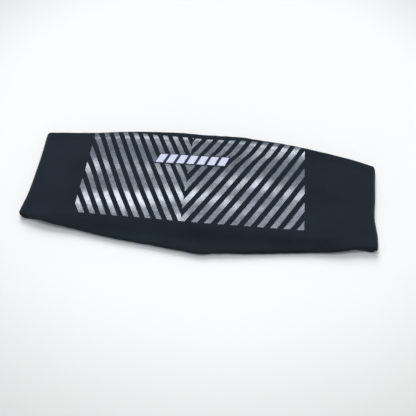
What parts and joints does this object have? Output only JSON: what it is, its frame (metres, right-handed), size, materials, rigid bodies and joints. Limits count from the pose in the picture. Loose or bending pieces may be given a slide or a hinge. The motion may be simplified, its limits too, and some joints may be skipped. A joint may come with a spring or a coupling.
{
  "type": "sports headband",
  "caption": "Wide contoured knit headband lying flat, a two-layer loop with a silver V-shaped print and a dashed emblem.",
  "frame": {"origin": "middle of the footprint, on the surface that the band lies on", "axes": "+X along the folded band, +Y up the forehead, +Z away from the surface that it lies on"},
  "size_m": [0.23, 0.097, 0.009],
  "materials": {
    "shell_knit": "fine stretch knit, slight sheen",
    "lining_knit": "brushed stretch knit, matt",
    "seam_thread": "textured polyester thread",
    "foil_film": "metallised silver transfer film, crinkled",
    "emblem_backing": "satin transfer film",
    "emblem_film": "satin raised transfer film"
  },
  "bodies": {
    "root": {"outer_shell": "shell_knit", "inner_lining": "lining_knit", "top_seam_thread": "seam_thread", "bottom_seam_thread": "seam_thread", "back_seam_thread": "seam_thread", "left_strip_1": "foil_film", "left_strip_2": "foil_film", "left_strip_3": "foil_film", "left_strip_4": "foil_film", "left_strip_5": "foil_film", "left_strip_6": "foil_film", "left_strip_7": "foil_film", "left_strip_8": "foil_film", "left_strip_9": "foil_film", "left_strip_10": "foil_film", "left_strip_11": "foil_film", "left_strip_12": "foil_film", "left_strip_13": "foil_film", "left_strip_14": "foil_film", "left_strip_15": "foil_film", "right_strip_1": "foil_film", "right_strip_2": "foil_film", "right_strip_3": "foil_film", "right_strip_4": "foil_film", "right_strip_5": "foil_film", "right_strip_6": "foil_film", "right_strip_7": "foil_film", "right_strip_8": "foil_film", "right_strip_9": "foil_film", "right_strip_10": "foil_film", "right_strip_11": "foil_film", "right_strip_12": "foil_film", "right_strip_13": "foil_film", "right_strip_14": "foil_film", "right_strip_15": "foil_film", "emblem_backing": "emblem_backing", "emblem_dash_1": "emblem_film", "emblem_dash_2": "emblem_film", "emblem_dash_3": "emblem_film", "emblem_dash_4": "emblem_film", "emblem_dash_5": "emblem_film", "emblem_dash_6": "emblem_film", "emblem_dash_7": "emblem_film"}
  },
  "joints": []
}
